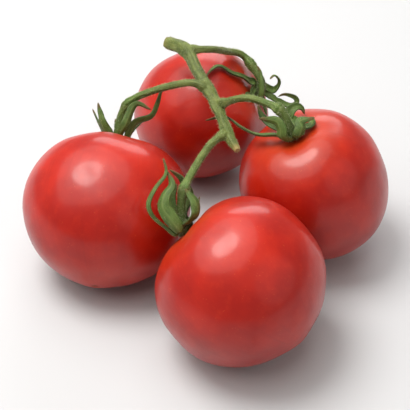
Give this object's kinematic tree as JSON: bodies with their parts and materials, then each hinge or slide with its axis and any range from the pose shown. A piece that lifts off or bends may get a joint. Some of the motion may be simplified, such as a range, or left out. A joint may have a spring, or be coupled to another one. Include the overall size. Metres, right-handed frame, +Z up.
{
  "type": "truss of tomatoes",
  "caption": "Red vine tomatoes on one cut green stem, with curled sepals at each fruit, lying on a level surface.",
  "frame": {"origin": "bottom centre of the whole bunch's bounding box, on the surface that it lies on", "axes": "+Z up from the surface; +X to the right and +Y away, seen from the front tomato's side"},
  "size_m": [0.1046, 0.1178, 0.0513],
  "materials": {
    "tomato_skin": "smooth glossy ripe tomato skin, saturated red",
    "green_stem": "matt green living stem with fine hairs and small dark specks",
    "sepal_leaf": "matt green leaf with lighter edges and dry tips"
  },
  "bodies": {
    "root": {"back_pedicel": "green_stem", "back_sepal_1": "sepal_leaf", "back_sepal_2": "sepal_leaf", "back_sepal_3": "sepal_leaf", "back_sepal_4": "sepal_leaf", "back_sepal_5": "sepal_leaf", "back_sepal_6": "sepal_leaf", "back_stalk": "green_stem", "back_tomato": "tomato_skin", "front_pedicel": "green_stem", "front_sepal_1": "sepal_leaf", "front_sepal_2": "sepal_leaf", "front_sepal_3": "sepal_leaf", "front_sepal_4": "sepal_leaf", "front_sepal_5": "sepal_leaf", "front_sepal_6": "sepal_leaf", "front_stalk": "green_stem", "front_tomato": "tomato_skin", "left_pedicel": "green_stem", "left_sepal_1": "sepal_leaf", "left_sepal_2": "sepal_leaf", "left_sepal_3": "sepal_leaf", "left_sepal_4": "sepal_leaf", "left_sepal_5": "sepal_leaf", "left_sepal_6": "sepal_leaf", "left_stalk": "green_stem", "left_tomato": "tomato_skin", "rachis": "green_stem", "right_pedicel": "green_stem", "right_sepal_1": "sepal_leaf", "right_sepal_2": "sepal_leaf", "right_sepal_3": "sepal_leaf", "right_sepal_4": "sepal_leaf", "right_sepal_5": "sepal_leaf", "right_sepal_6": "sepal_leaf", "right_stalk": "green_stem", "right_tomato": "tomato_skin"}
  },
  "joints": []
}
